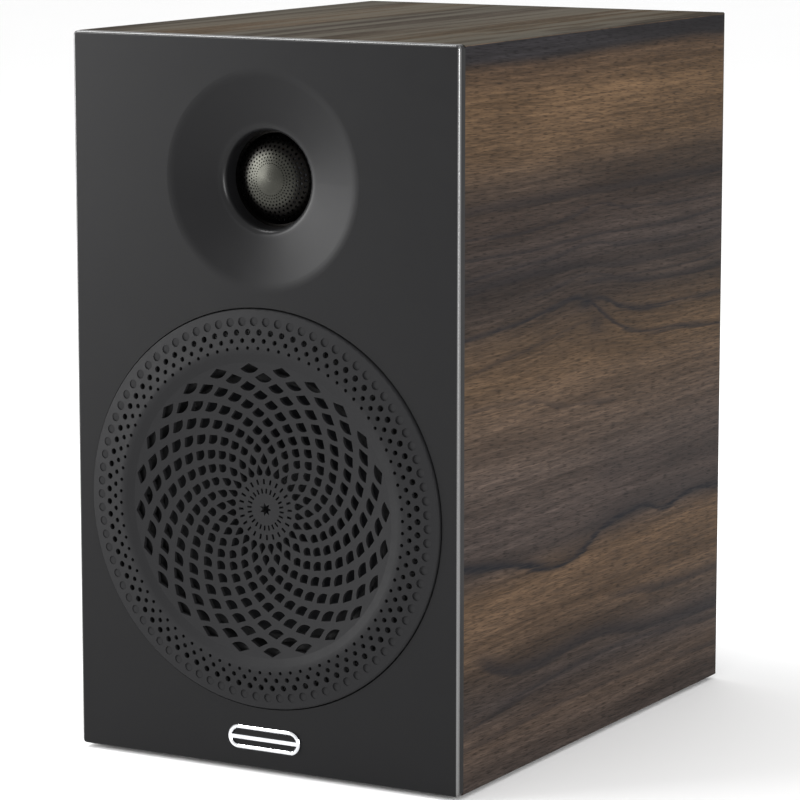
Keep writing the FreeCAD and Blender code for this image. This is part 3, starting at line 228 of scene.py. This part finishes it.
# ---- materials ----
def walnut():
    """A dark walnut wrap: the grain runs from front to back on every face."""
    look = Look("walnut_wrap")
    x, y, z = look.split()
    fascia_near, fascia_far = box_mm("front_fascia")
    back = box_mm("top_panel")[1].y
    half_width, top = fascia_far.x, fascia_far.z
    front, underside = fascia_near.y, fascia_near.z
    tall = top - underside

    # the top carries the side's figure, read across its width
    on_top = look.spread(z, top - 1.0, top - 0.2)
    top_stretch, top_level = 0.9, 120.0
    across = look.math("MULTIPLY_ADD", x, top_stretch, top_level)
    height = look.between(on_top, look.minus(z, underside), across)
    along = look.math("DIVIDE", look.math("ADD", y, -front), back - front)

    def patch(share, share_reach, place, place_reach):
        """A soft oval spot, by share of the depth and by height; 1 at its middle."""
        from_share = look.math("DIVIDE", look.minus(along, share), share_reach)
        from_place = look.math("DIVIDE", look.minus(height, place), place_reach)
        return look.times(look.hump(from_share), look.hump(from_place))

    # slow wandering lifts the grain by up to half of this, and it dips round the knot
    wander, dip, slope = 12.0, -7.0, 0.05
    drift = look.minus(look.noise(110, (1, 0.35, 1), 2.0), 0.5)
    swell = patch(0.44, 0.17, 203.0, 34.0)
    level = look.math("MULTIPLY_ADD", drift, wander, height)
    wandering = look.math("ADD", z, look.times(drift, wander))
    flow = look.join(x, y, look.math("MULTIPLY_ADD", swell, dip, wandering))
    tilted = look.join(x, y, look.math("MULTIPLY_ADD", y, slope, z))

    clouds = look.noise(45, (1, 0.2, 1), 2.0, 0.5, flow)
    bands = look.noise(8, (1, 0.03, 1), 3.0, 0.55, flow)
    threads = look.noise(1.7, (1, 0.03, 1), 3.0, 0.6, flow)
    fibres = look.noise(0.9, (1, 0.06, 1), 2.0, 0.6, tilted)
    pores = look.noise(0.5, (1, 0.07, 1), 1.0, 0.5, tilted)

    base = look.ramp(
        look.math("DIVIDE", level, tall),
        (0.00, tone(76, 69, 66)), (0.06, tone(88, 76, 67)), (0.11, tone(68, 62, 60)),
        (0.15, tone(80, 70, 63)), (0.19, tone(98, 82, 67)), (0.26, tone(104, 86, 68)),
        (0.30, tone(72, 65, 62)), (0.34, tone(80, 72, 69)), (0.41, tone(90, 80, 74)),
        (0.48, tone(97, 83, 71)), (0.54, tone(100, 83, 65)), (0.59, tone(88, 74, 60)),
        (0.63, tone(70, 62, 57)), (0.69, tone(64, 58, 56)), (0.76, tone(72, 63, 58)),
        (0.81, tone(80, 69, 60)), (0.85, tone(104, 86, 67)), (0.92, tone(110, 90, 68)),
        (0.962, tone(98, 81, 65)), (0.974, tone(52, 51, 54)), (1.0, tone(46, 46, 50)))
    for value, low_from, high_from, dark_to, light_to in (
            (clouds, 0.34, 0.66, 0.84, 1.14), (bands, 0.34, 0.64, 0.72, 1.18),
            (threads, 0.3, 0.7, 0.72, 1.26), (fibres, 0.3, 0.7, 0.66, 1.34)):
        shade = look.spread(value, low_from, high_from, dark_to, light_to, smooth=False)
        base = look.blend(1.0, base, look.join(shade, shade, shade), "MULTIPLY")
    pitted = look.spread(pores, 0.52, 0.70, 1.06, 0.5)
    base = look.blend(1.0, base, look.join(pitted, pitted, pitted), "MULTIPLY")
    stain = (0.50, 0.465, 0.445, 1.0)
    base = look.blend(1.0, base, stain, "MULTIPLY")

    band_wobble, thread_wobble = 5.0, 4.0
    wobble = look.times(look.minus(bands, 0.5), band_wobble)
    wobble = look.math("MULTIPLY_ADD", look.minus(threads, 0.5), thread_wobble, wobble)
    frayed = look.spread(fibres, 0.3, 0.6, 0.5, 1.1, smooth=False)

    def streak(base_height, above, below, strength, *route, begin=-1.0, end=2.0):
        """A dark line along the side, by (share of the depth, height) places; softer above than below."""
        reach = 40.0
        places = [(share, 0.5 + (place - base_height) / (2.0 * reach)) for share, place in route]
        wave = look.math("MULTIPLY_ADD", look.curve(along, *places), 2.0 * reach, base_height - reach)
        away = look.minus(look.minus(height, wave), wobble)
        line = look.times(look.spread(away, above, 0.0), look.spread(away, -below, 0.0))
        fade = 0.1
        ends = look.times(look.spread(along, begin, begin + fade),
                          look.spread(along, end, end - fade))
        return look.times(look.times(line, ends), strength)

    figure = (
        streak(200, 2.6, 1.8, 0.8, (0.0, 203), (0.2, 205), (0.33, 208), (0.41, 210), (0.46, 207),
               (0.52, 199), (0.64, 187), (0.86, 182), (1.0, 179)),
        streak(200, 3.0, 1.8, 0.8, (0.0, 207), (0.5, 207), (0.59, 200), (0.67, 197), (0.86, 195),
               (1.0, 194), begin=0.42),
        streak(210, 2.4, 1.6, 0.6, (0.0, 216), (0.5, 215), (0.74, 209), (1.0, 209), begin=0.4),
        streak(220, 4.5, 2.0, 0.45, (0.0, 224), (0.4, 225), (0.6, 220), (1.0, 221)),
        streak(246, 1.6, 1.2, 0.5, (0.0, 247), (0.4, 248), (0.5, 251), (0.6, 247), (1.0, 243)),
        streak(230, 1.8, 1.2, 0.5, (0.0, 229), (0.35, 231), (0.45, 233), (0.6, 229), (1.0, 227)),
        streak(215, 1.6, 1.2, 0.5, (0.0, 213), (0.35, 217), (0.45, 219), (0.6, 214), (1.0, 214),
               begin=0.2),
        streak(189, 1.8, 1.2, 0.45, (0.0, 187), (0.3, 194), (0.48, 198), (1.0, 198), end=0.52),
        streak(237, 2.0, 1.4, 0.55, (0.0, 238), (0.25, 236), (0.45, 237), (0.7, 235), (1.0, 236)),
        streak(258, 5.0, 2.5, 0.45, (0.0, 259), (0.5, 258), (1.0, 256)),
        streak(165, 2.5, 1.5, 0.4, (0.0, 171), (0.25, 167), (0.37, 161), (0.6, 157), end=0.6),
        streak(97, 5.5, 2.4, 0.95, (0.0, 102), (0.15, 97), (0.25, 92), (0.37, 87), (0.44, 90),
               (0.53, 97), (0.69, 100), (0.77, 95), (0.86, 98), (1.0, 97)),
        streak(97, 17.0, 5.0, 0.5, (0.0, 100), (0.37, 88), (0.53, 97), (0.69, 100), (1.0, 97),
               begin=0.3),
        streak(48, 9.0, 3.0, 0.7, (0.0, 62), (0.07, 57), (0.15, 49), (0.25, 45), (0.5, 47),
               (0.74, 39), (1.0, 37), begin=0.02),
        streak(57, 5.0, 2.5, 0.6, (0.0, 62), (0.64, 60), (0.77, 57), (1.0, 55), begin=0.52),
        streak(30, 3.0, 2.0, 0.5, (0.0, 27), (0.25, 34), (0.5, 37), (1.0, 30)),
        streak(18, 3.0, 2.0, 0.4, (0.0, 19), (0.5, 22), (1.0, 17)),
        streak(140, 30.0, 12.0, 0.28, (0.0, 128), (0.6, 124), (1.0, 118), begin=0.45),
    )
    knot = patch(0.455, 0.035, 206.5, 3.4)
    below_knot = look.times(patch(0.49, 0.03, 195.0, 5.0), 0.6)
    lines = look.times(look.math("MAXIMUM", knot, below_knot), 0.85)
    for line in figure:
        lines = look.math("MAXIMUM", lines, line)
    from_middle = look.math("ABSOLUTE", x)
    on_side = look.spread(from_middle, half_width - 2.0, half_width - 0.8)
    base = look.blend(look.times(look.times(lines, frayed), on_side), base, tone(22, 23, 27))
    # painted sheen: the top is greyed in streaks along the grain, standing in for the grazing reflection that
    # its zero specular leaves out
    painted_top_sheen = look.spread(bands, 0.38, 0.62, 0.3, 0.8)
    base = look.blend(look.times(on_top, painted_top_sheen), base, tone(84, 81, 74))

    # the board is raw inside, and its own edge is painted black at the back
    from_centre = look.math("ABSOLUTE", look.minus(z, 0.5 * (top + underside)))
    within_x = look.spread(from_middle, half_width - 1.6, half_width - 2.4)
    within_z = look.spread(from_centre, 0.5 * tall - 1.4, 0.5 * tall - 2.0)
    base = look.blend(look.times(within_x, within_z), base, tone(168, 138, 104))
    base = look.blend(look.spread(y, back - 0.6, back - 0.2), base, tone(30, 30, 31))
    look.colour(base)
    look.feed(look.between(on_top, 0.04, 0.0), look.shader.inputs["Specular IOR Level"])
    look.rough(look.spread(fibres, 0.3, 0.7, 0.44, 0.60, smooth=False))
    look.bump(fibres, 0.10)
    look.bump(threads, 0.05)
    return look


def moulded(name, colour, lift, rough, grain, depth, uneven=0.05, **sockets):
    """Moulded plastic or paint: fine spark-eroded grain, faint clouding and a few rubbed patches."""
    look = Look(name, **sockets)
    cloud = look.noise(35, detail=3.0)
    speck = look.noise(grain, detail=2.0, rough=0.7)
    rubbed = look.noise(8, detail=4.0, rough=0.7)
    look.colour(look.blend(look.times(look.math("ADD", cloud, speck), 0.5), colour, lift))
    patchy = look.spread(rubbed, 0.3, 0.7, rough - uneven, rough + uneven, smooth=False)
    grained = look.times(look.minus(speck, 0.5), 2.0 * uneven)
    look.rough(look.math("ADD", patchy, grained))
    look.bump(speck, depth)
    return look


def metal(name, colour, rough, stretch, size, depth, stain=None):
    """Bare or plated metal with machining marks and light staining."""
    look = Look(name, Metallic=1.0)
    marks = look.noise(size, stretch, 3.0, 0.7)
    patches = look.noise(6, detail=4.0, rough=0.65)
    if stain is None:
        stain = tuple(value * 0.6 for value in colour[:3]) + (1.0,)
    look.colour(look.blend(look.spread(patches, 0.4, 0.75, 0.0, 0.5), colour, stain))
    uneven = 0.12
    patchy = look.spread(patches, 0.3, 0.7, rough, rough + uneven, smooth=False)
    look.rough(look.math("ADD", patchy, look.times(look.minus(marks, 0.5), uneven)))
    look.bump(marks, depth)
    return look


def fibre(name, light, dark, size, stretch, depth, rough=0.85):
    """Matted fibres: raw board, paper or wadding."""
    look = Look(name, Specular_IOR_Level=0.25)
    strands = look.noise(size, stretch, 4.0, 0.75)
    patches = look.noise(size * 14, detail=3.0)
    mixed = look.math("ADD", look.times(strands, 0.7), look.times(patches, 0.3))
    look.colour(look.blend(look.spread(mixed, 0.35, 0.65, smooth=False), dark, light))
    look.rough(look.spread(strands, 0.3, 0.7, rough - 0.08, rough + 0.08))
    look.bump(strands, depth)
    return look


def board():
    """Raw fibreboard, blackened on the face behind the fascia so that no gap shows it."""
    look = fibre("fibreboard", tone(196, 168, 132), tone(142, 112, 80), 0.5, (1, 0.5, 1), 0.08)
    painted_to = box_mm("inner_baffle")[0].y + 7.0
    y = look.split()[1]
    raw = look.shader.inputs["Base Color"].links[0].from_socket
    look.colour(look.blend(look.spread(y, painted_to + 2.0, painted_to), raw, tone(20, 20, 20)))
    return look


def woven(name, light, dark, pitch, depth):
    """Cloth woven across X and Z."""
    look = Look(name)
    x, _, z = look.split()
    turn = 2.0 * math.pi / pitch
    warp = look.math("SINE", look.times(x, turn))
    weft = look.math("SINE", look.times(z, turn))
    weave = look.times(look.math("ADD", look.times(warp, weft), 1.0), 0.5)
    fuzz = look.noise(0.3, detail=2.0)
    look.colour(look.blend(look.times(weave, fuzz), dark, light))
    look.rough(look.spread(fuzz, 0.3, 0.7, 0.7, 0.85))
    look.bump(weave, depth)
    return look


def wound(name, colour, dark, wire, axis, rough=0.28):
    """Enamelled wire laid turn by turn along an axis, with painted shade in the grooves between turns."""
    look = Look(name, Metallic=1.0, Coat_Weight=0.6, Coat_Roughness=0.15)
    along = look.split()[axis]
    turns = look.math("ABSOLUTE", look.math("SINE", look.times(along, math.pi / wire)))
    uneven = look.noise(4, detail=3.0)
    groove_shade_mask = look.times(turns, look.math("ADD", uneven, 0.5))
    # painted shade: the colour goes to the dark one in the grooves between turns
    look.colour(look.blend(look.spread(groove_shade_mask, 0.0, 0.7), dark, colour))
    look.rough(look.spread(uneven, 0.3, 0.7, rough, rough + 0.15))
    look.bump(turns, wire * 0.35)
    return look


def fascia():
    """Satin moulded black, burnished along its front arris and faintly round the throat's lip."""
    look = moulded("fascia_black", tone(14, 14, 15), tone(18, 18, 19), 0.3, 0.22, 0.002,
                   uneven=0.015, IOR=1.8)
    near, far = box_mm("front_fascia")
    lens_near, lens_far = box_mm("tweeter_lens")
    x, y, z = look.split()
    rounding = 1.2
    sides = look.spread(look.math("ABSOLUTE", x), far.x - rounding, far.x - 0.6 * rounding)
    top = look.spread(z, far.z - rounding, far.z - 0.6 * rounding, 0.0, 0.35)
    at_front = look.spread(y, near.y + 1.3 * rounding, near.y + rounding)
    arris = look.times(look.math("MAXIMUM", sides, top), at_front)
    radius = look.length(look.minus(x, 0.5 * (lens_near.x + lens_far.x)),
                         look.minus(z, 0.5 * (lens_near.z + lens_far.z)))
    lip = look.spread(radius, lens_far.x + 2.5, lens_far.x, 0.0, 0.03)
    burnished = look.math("MAXIMUM", arris, lip)
    look.feed(look.between(burnished, 0.06, 1.0), look.shader.inputs["Specular IOR Level"])
    satin = look.shader.inputs["Roughness"].links[0].from_socket
    look.rough(look.between(burnished, satin, 0.2))
    return look


def lens_metal():
    """The tweeter's pressed guard, with painted shade that darkens it to black towards its rim, deep in the
    throat.
    """
    look = metal("gunmetal", tone(54, 54, 50), 0.22, (1, 1, 1), 0.3, 0.003)
    near, far = box_mm("tweeter_lens")
    x, _, z = look.split()
    across = look.minus(x, 0.5 * (near.x + far.x))
    up = look.minus(z, 0.5 * (near.z + far.z))
    # painted shade: beyond a ragged radius of about 11 to 15.5 mm the guard is darkened to near black
    ragged = look.times(look.noise(1.2, detail=2.0), 1.5)
    shade_radius = look.math("ADD", look.length(across, up), ragged)
    outer = look.spread(shade_radius, 11.0, 15.5)
    current = look.shader.inputs["Base Color"].links[0].from_socket
    look.colour(look.blend(outer, current, tone(22, 21, 20)))
    return look


materials = {}


def keep(look):
    """Files a material under the slot it is named for."""
    materials[look.slot] = look


keep(walnut())
keep(board())
keep(moulded("back_black", tone(24, 24, 25), tone(34, 34, 35), 0.55, 0.55, 0.06))
keep(fascia())
keep(moulded("driver_black", tone(25, 25, 26), tone(30, 30, 31), 0.5, 0.25, 0.012,
             Specular_IOR_Level=0.09))
keep(moulded("basket_black", tone(24, 24, 25), tone(34, 34, 35), 0.48, 0.3, 0.02))
keep(metal("steel", tone(176, 178, 182), 0.3, (1, 1, 1), 0.4, 0.008))
keep(moulded("screw_black", tone(22, 22, 24), tone(40, 40, 42), 0.4, 0.2, 0.01, Metallic=0.7))
keep(moulded("ferrite", tone(48, 48, 51), tone(66, 66, 69), 0.7, 0.35, 0.04))
keep(wound("copper", tone(186, 98, 52), tone(82, 36, 18), 0.7, 2))
keep(moulded("cone_grey", tone(15, 15, 18), tone(21, 22, 25), 0.5, 0.5, 0.03,
             Specular_IOR_Level=0.2))
keep(moulded("soft_rubber", tone(18, 18, 19), tone(25, 25, 26), 0.62, 0.4, 0.02,
             Specular_IOR_Level=0.2))
keep(fibre("foam", tone(52, 52, 54), tone(20, 20, 21), 0.6, (1, 1, 1), 0.25, 0.92))
keep(fibre("wadding", tone(236, 233, 226), tone(188, 184, 174), 1.4, (1, 0.3, 0.6), 0.6, 0.95))
keep(woven("spider_cloth", tone(206, 168, 96), tone(132, 98, 44), 0.7, 0.12))
keep(moulded("kapton", tone(150, 88, 28), tone(176, 110, 40), 0.25, 0.6, 0.004, Coat_Weight=0.5))
keep(metal("dome_grey", tone(128, 130, 136), 0.32, (1, 1, 1), 0.3, 0.004))
keep(lens_metal())
keep(metal("badge_chrome", tone(226, 227, 230), 0.06, (1, 1, 1), 0.8, 0.001, tone(190, 192, 198)))
keep(metal("brass_plated", tone(222, 182, 102), 0.18, (1, 3, 1), 0.25, 0.004))
keep(moulded("red_plastic", tone(168, 16, 18), tone(186, 26, 26), 0.3, 0.3, 0.006, Coat_Weight=0.2))
keep(moulded("black_plastic", tone(22, 22, 23), tone(32, 32, 33), 0.32, 0.3, 0.008, Coat_Weight=0.15))
keep(fibre("hardboard", tone(138, 100, 64), tone(92, 62, 36), 0.4, (1, 0.6, 1), 0.04, 0.6))
keep(moulded("capacitor_film", tone(176, 150, 48), tone(196, 170, 66), 0.22, 1.2, 0.02, Coat_Weight=0.4))
keep(moulded("ceramic", tone(216, 211, 198), tone(232, 228, 218), 0.75, 0.5, 0.08))
keep(moulded("lead_sheath", tone(36, 36, 40), tone(50, 50, 54), 0.38, 0.4, 0.006))
keep(wound("tinsel", tone(196, 134, 88), tone(96, 56, 34), 0.5, 2, 0.35))

for node, shown in nodes.items():
    for place in shown.material_slots:
        slot = place.material.name.split(".")[0]
        place.material = materials[slot].material


# ---- wadding ----
def wadding_pad(side):
    """A lofty polyester pad glued to one side wall, pulled in at its edges and along its staple lines."""
    near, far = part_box("side_wadding")
    wall = far.x
    block = nodes["side_wadding"].data.vertices
    thickness = wall - min(corner.co.x for corner in block if corner.co.x > 0)
    columns, rows = 48, 60
    staple_lines = 3
    pinched, crown, quilted, lumpy = 0.25, 0.45, 0.2, 0.08

    def loft(u, v):
        """The pad's thickness at a share of its length and height."""
        rim = min(u, 1.0 - u) * columns / 4.0, min(v, 1.0 - v) * rows / 4.0
        pulled = math.sqrt(max(0.0, 1.0 - (1.0 - min(1.0, min(rim))) ** 2))
        staples = abs(math.sin(math.pi * staple_lines * v)) ** 0.5
        lumps = math.sin(31.0 * u + 4.0 * v) * math.sin(23.0 * v - 6.0 * u)
        return thickness * (pinched + pulled * (crown + quilted * staples + lumpy * lumps))

    mesh = bmesh.new()
    sheets = []
    for level in (0, 1):
        sheet = []
        for row in range(rows + 1):
            v = row / rows
            z = near.z + (far.z - near.z) * v
            line = []
            for column in range(columns + 1):
                u = column / columns
                y = near.y + (far.y - near.y) * u
                line.append(mesh.verts.new((side * (wall - level * loft(u, v)), y, z)))
            sheet.append(line)
        sheets.append(sheet)
    back, front = sheets
    for sheet in sheets:
        for row in range(rows):
            for column in range(columns):
                mesh.faces.new((sheet[row][column], sheet[row][column + 1],
                                sheet[row + 1][column + 1], sheet[row + 1][column]))
    for column in range(columns):
        for row in (0, rows):
            mesh.faces.new((back[row][column], back[row][column + 1],
                            front[row][column + 1], front[row][column]))
    for row in range(rows):
        for column in (0, columns):
            mesh.faces.new((back[row][column], back[row + 1][column],
                            front[row + 1][column], front[row][column]))
    bmesh.ops.recalc_face_normals(mesh, faces=mesh.faces)
    name = "wadding_right" if side > 0 else "wadding_left"
    data = bpy.data.meshes.new(name)
    mesh.to_mesh(data)
    mesh.free()
    data.materials.append(materials["wadding"].material)
    data.shade_smooth()
    pad = bpy.data.objects.new(name, data)
    bpy.context.scene.collection.objects.link(pad)
    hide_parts("side_wadding")
    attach(pad, "cabinet")


for side in (-1, 1):
    wadding_pad(side)


# ---- parts that flex as the drivers move ----
def stand_in(node, name, slot, mesh):
    """A new piece from a mesh, which stands for a CAD node."""
    data = bpy.data.meshes.new(name)
    mesh.to_mesh(data)
    mesh.free()
    data.materials.append(materials[slot].material)
    data.shade_smooth()
    data.set_sharp_from_angle(angle=math.radians(40.0))
    piece = bpy.data.objects.new(name, data)
    bpy.context.scene.collection.objects.link(piece)
    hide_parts(node)
    return piece


def node_mesh(node):
    """A copy of a CAD node's mesh, to cut up."""
    mesh = bmesh.new()
    mesh.from_mesh(nodes[node].data)
    mesh.transform(nodes[node].matrix_world)
    for face in mesh.faces:
        face.material_index = 0
    return mesh


def flexing_ring(node, slot, count):
    """Cuts a ring, which runs from a moving body to the cabinet, into sectors, each a piece of its own."""
    near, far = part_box(node)
    hub = Vector((0.0, 0.5 * (near.y + far.y), 0.5 * (near.z + far.z)))
    half = math.pi / count
    for index in range(count):
        middle = (2 * index + 1) * half
        mesh = node_mesh(node)
        for side in (-1, 1):
            turn = middle + side * half
            bmesh.ops.bisect_plane(
                mesh, geom=mesh.verts[:] + mesh.edges[:] + mesh.faces[:], plane_co=hub,
                plane_no=(-side * math.sin(turn), 0.0, side * math.cos(turn)), clear_outer=True)
        piece = stand_in(node, f"{node}_{index:02d}", slot, mesh)
        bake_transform(piece)


def flexing_leads():
    """The tinsel leads, which run from the terminal strip to the cone, as one new piece."""
    piece = stand_in("tinsel_leads", "tinsel_pair", "tinsel", node_mesh("tinsel_leads"))
    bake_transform(piece)


flexing_ring("woofer_surround", "soft_rubber", 24)
flexing_ring("spider", "spider_cloth", 16)
flexing_ring("dome_surround", "soft_rubber", 16)
flexing_leads()


# ---- floor ----
def pale_floor():
    """One wide plane, which the feet stand on."""
    look = Look("studio_floor", Specular_IOR_Level=0.1)
    haze = look.noise(400, detail=3.0)
    look.colour(look.blend(haze, (0.96, 0.96, 0.96, 1), (0.98, 0.98, 0.98, 1)))
    look.rough(0.85)
    mesh = bpy.data.meshes.new("studio_floor")
    reach = 30.0
    ring = [(-reach, -reach, low.z), (reach, -reach, low.z), (reach, reach, low.z), (-reach, reach, low.z)]
    mesh.from_pydata(ring, [], [(0, 1, 2, 3)])
    mesh.materials.append(look.material)
    floor = bpy.data.objects.new("studio_floor", mesh)
    bpy.context.scene.collection.objects.link(floor)


pale_floor()


# ---- light ----
def softbox(name, place, aim, width, height, power):
    """A large soft rectangular lamp that faces a point."""
    lamp = bpy.data.lights.new(name, "AREA")
    lamp.shape = "RECTANGLE"
    lamp.size = width
    lamp.size_y = height
    lamp.energy = power
    holder = bpy.data.objects.new(name, lamp)
    holder.location = place
    holder.rotation_euler = (Vector(aim) - Vector(place)).to_track_quat("-Z", "Y").to_euler()
    bpy.context.scene.collection.objects.link(holder)


middle = (0.0, 0.0, (low.z + high.z) / 2.0)
softbox("left_box", (-1.78, -1.4, 0.6), middle, 1.4, 1.2, 54.0)
softbox("right_box", (2.2, -1.45, 0.6), middle, 0.7, 1.1, 41.0)
softbox("top_box", (-0.9, -0.25, 1.7), middle, 0.7, 0.5, 18.0)

world = bpy.data.worlds.new("studio")
bpy.context.scene.world = world
world.use_nodes = True
backdrop = world.node_tree.nodes["Background"]
backdrop.inputs["Color"].default_value = (1.0, 1.0, 1.0, 1.0)
backdrop.inputs["Strength"].default_value = 1.0

# ---- camera ----
look_down, look_left = 9.303, 29.552
lens = bpy.data.cameras.new("view")
lens.sensor_width = 36.0
lens.lens = 169.6
eye = bpy.data.objects.new("view", lens)
eye.location = (0.8741, -1.5502, 0.4448)
eye.rotation_euler = (math.radians(90.0 - look_down), 0.0, math.radians(look_left))
bpy.context.scene.collection.objects.link(eye)
bpy.context.scene.camera = eye
bpy.context.scene.view_settings.view_transform = "Standard"
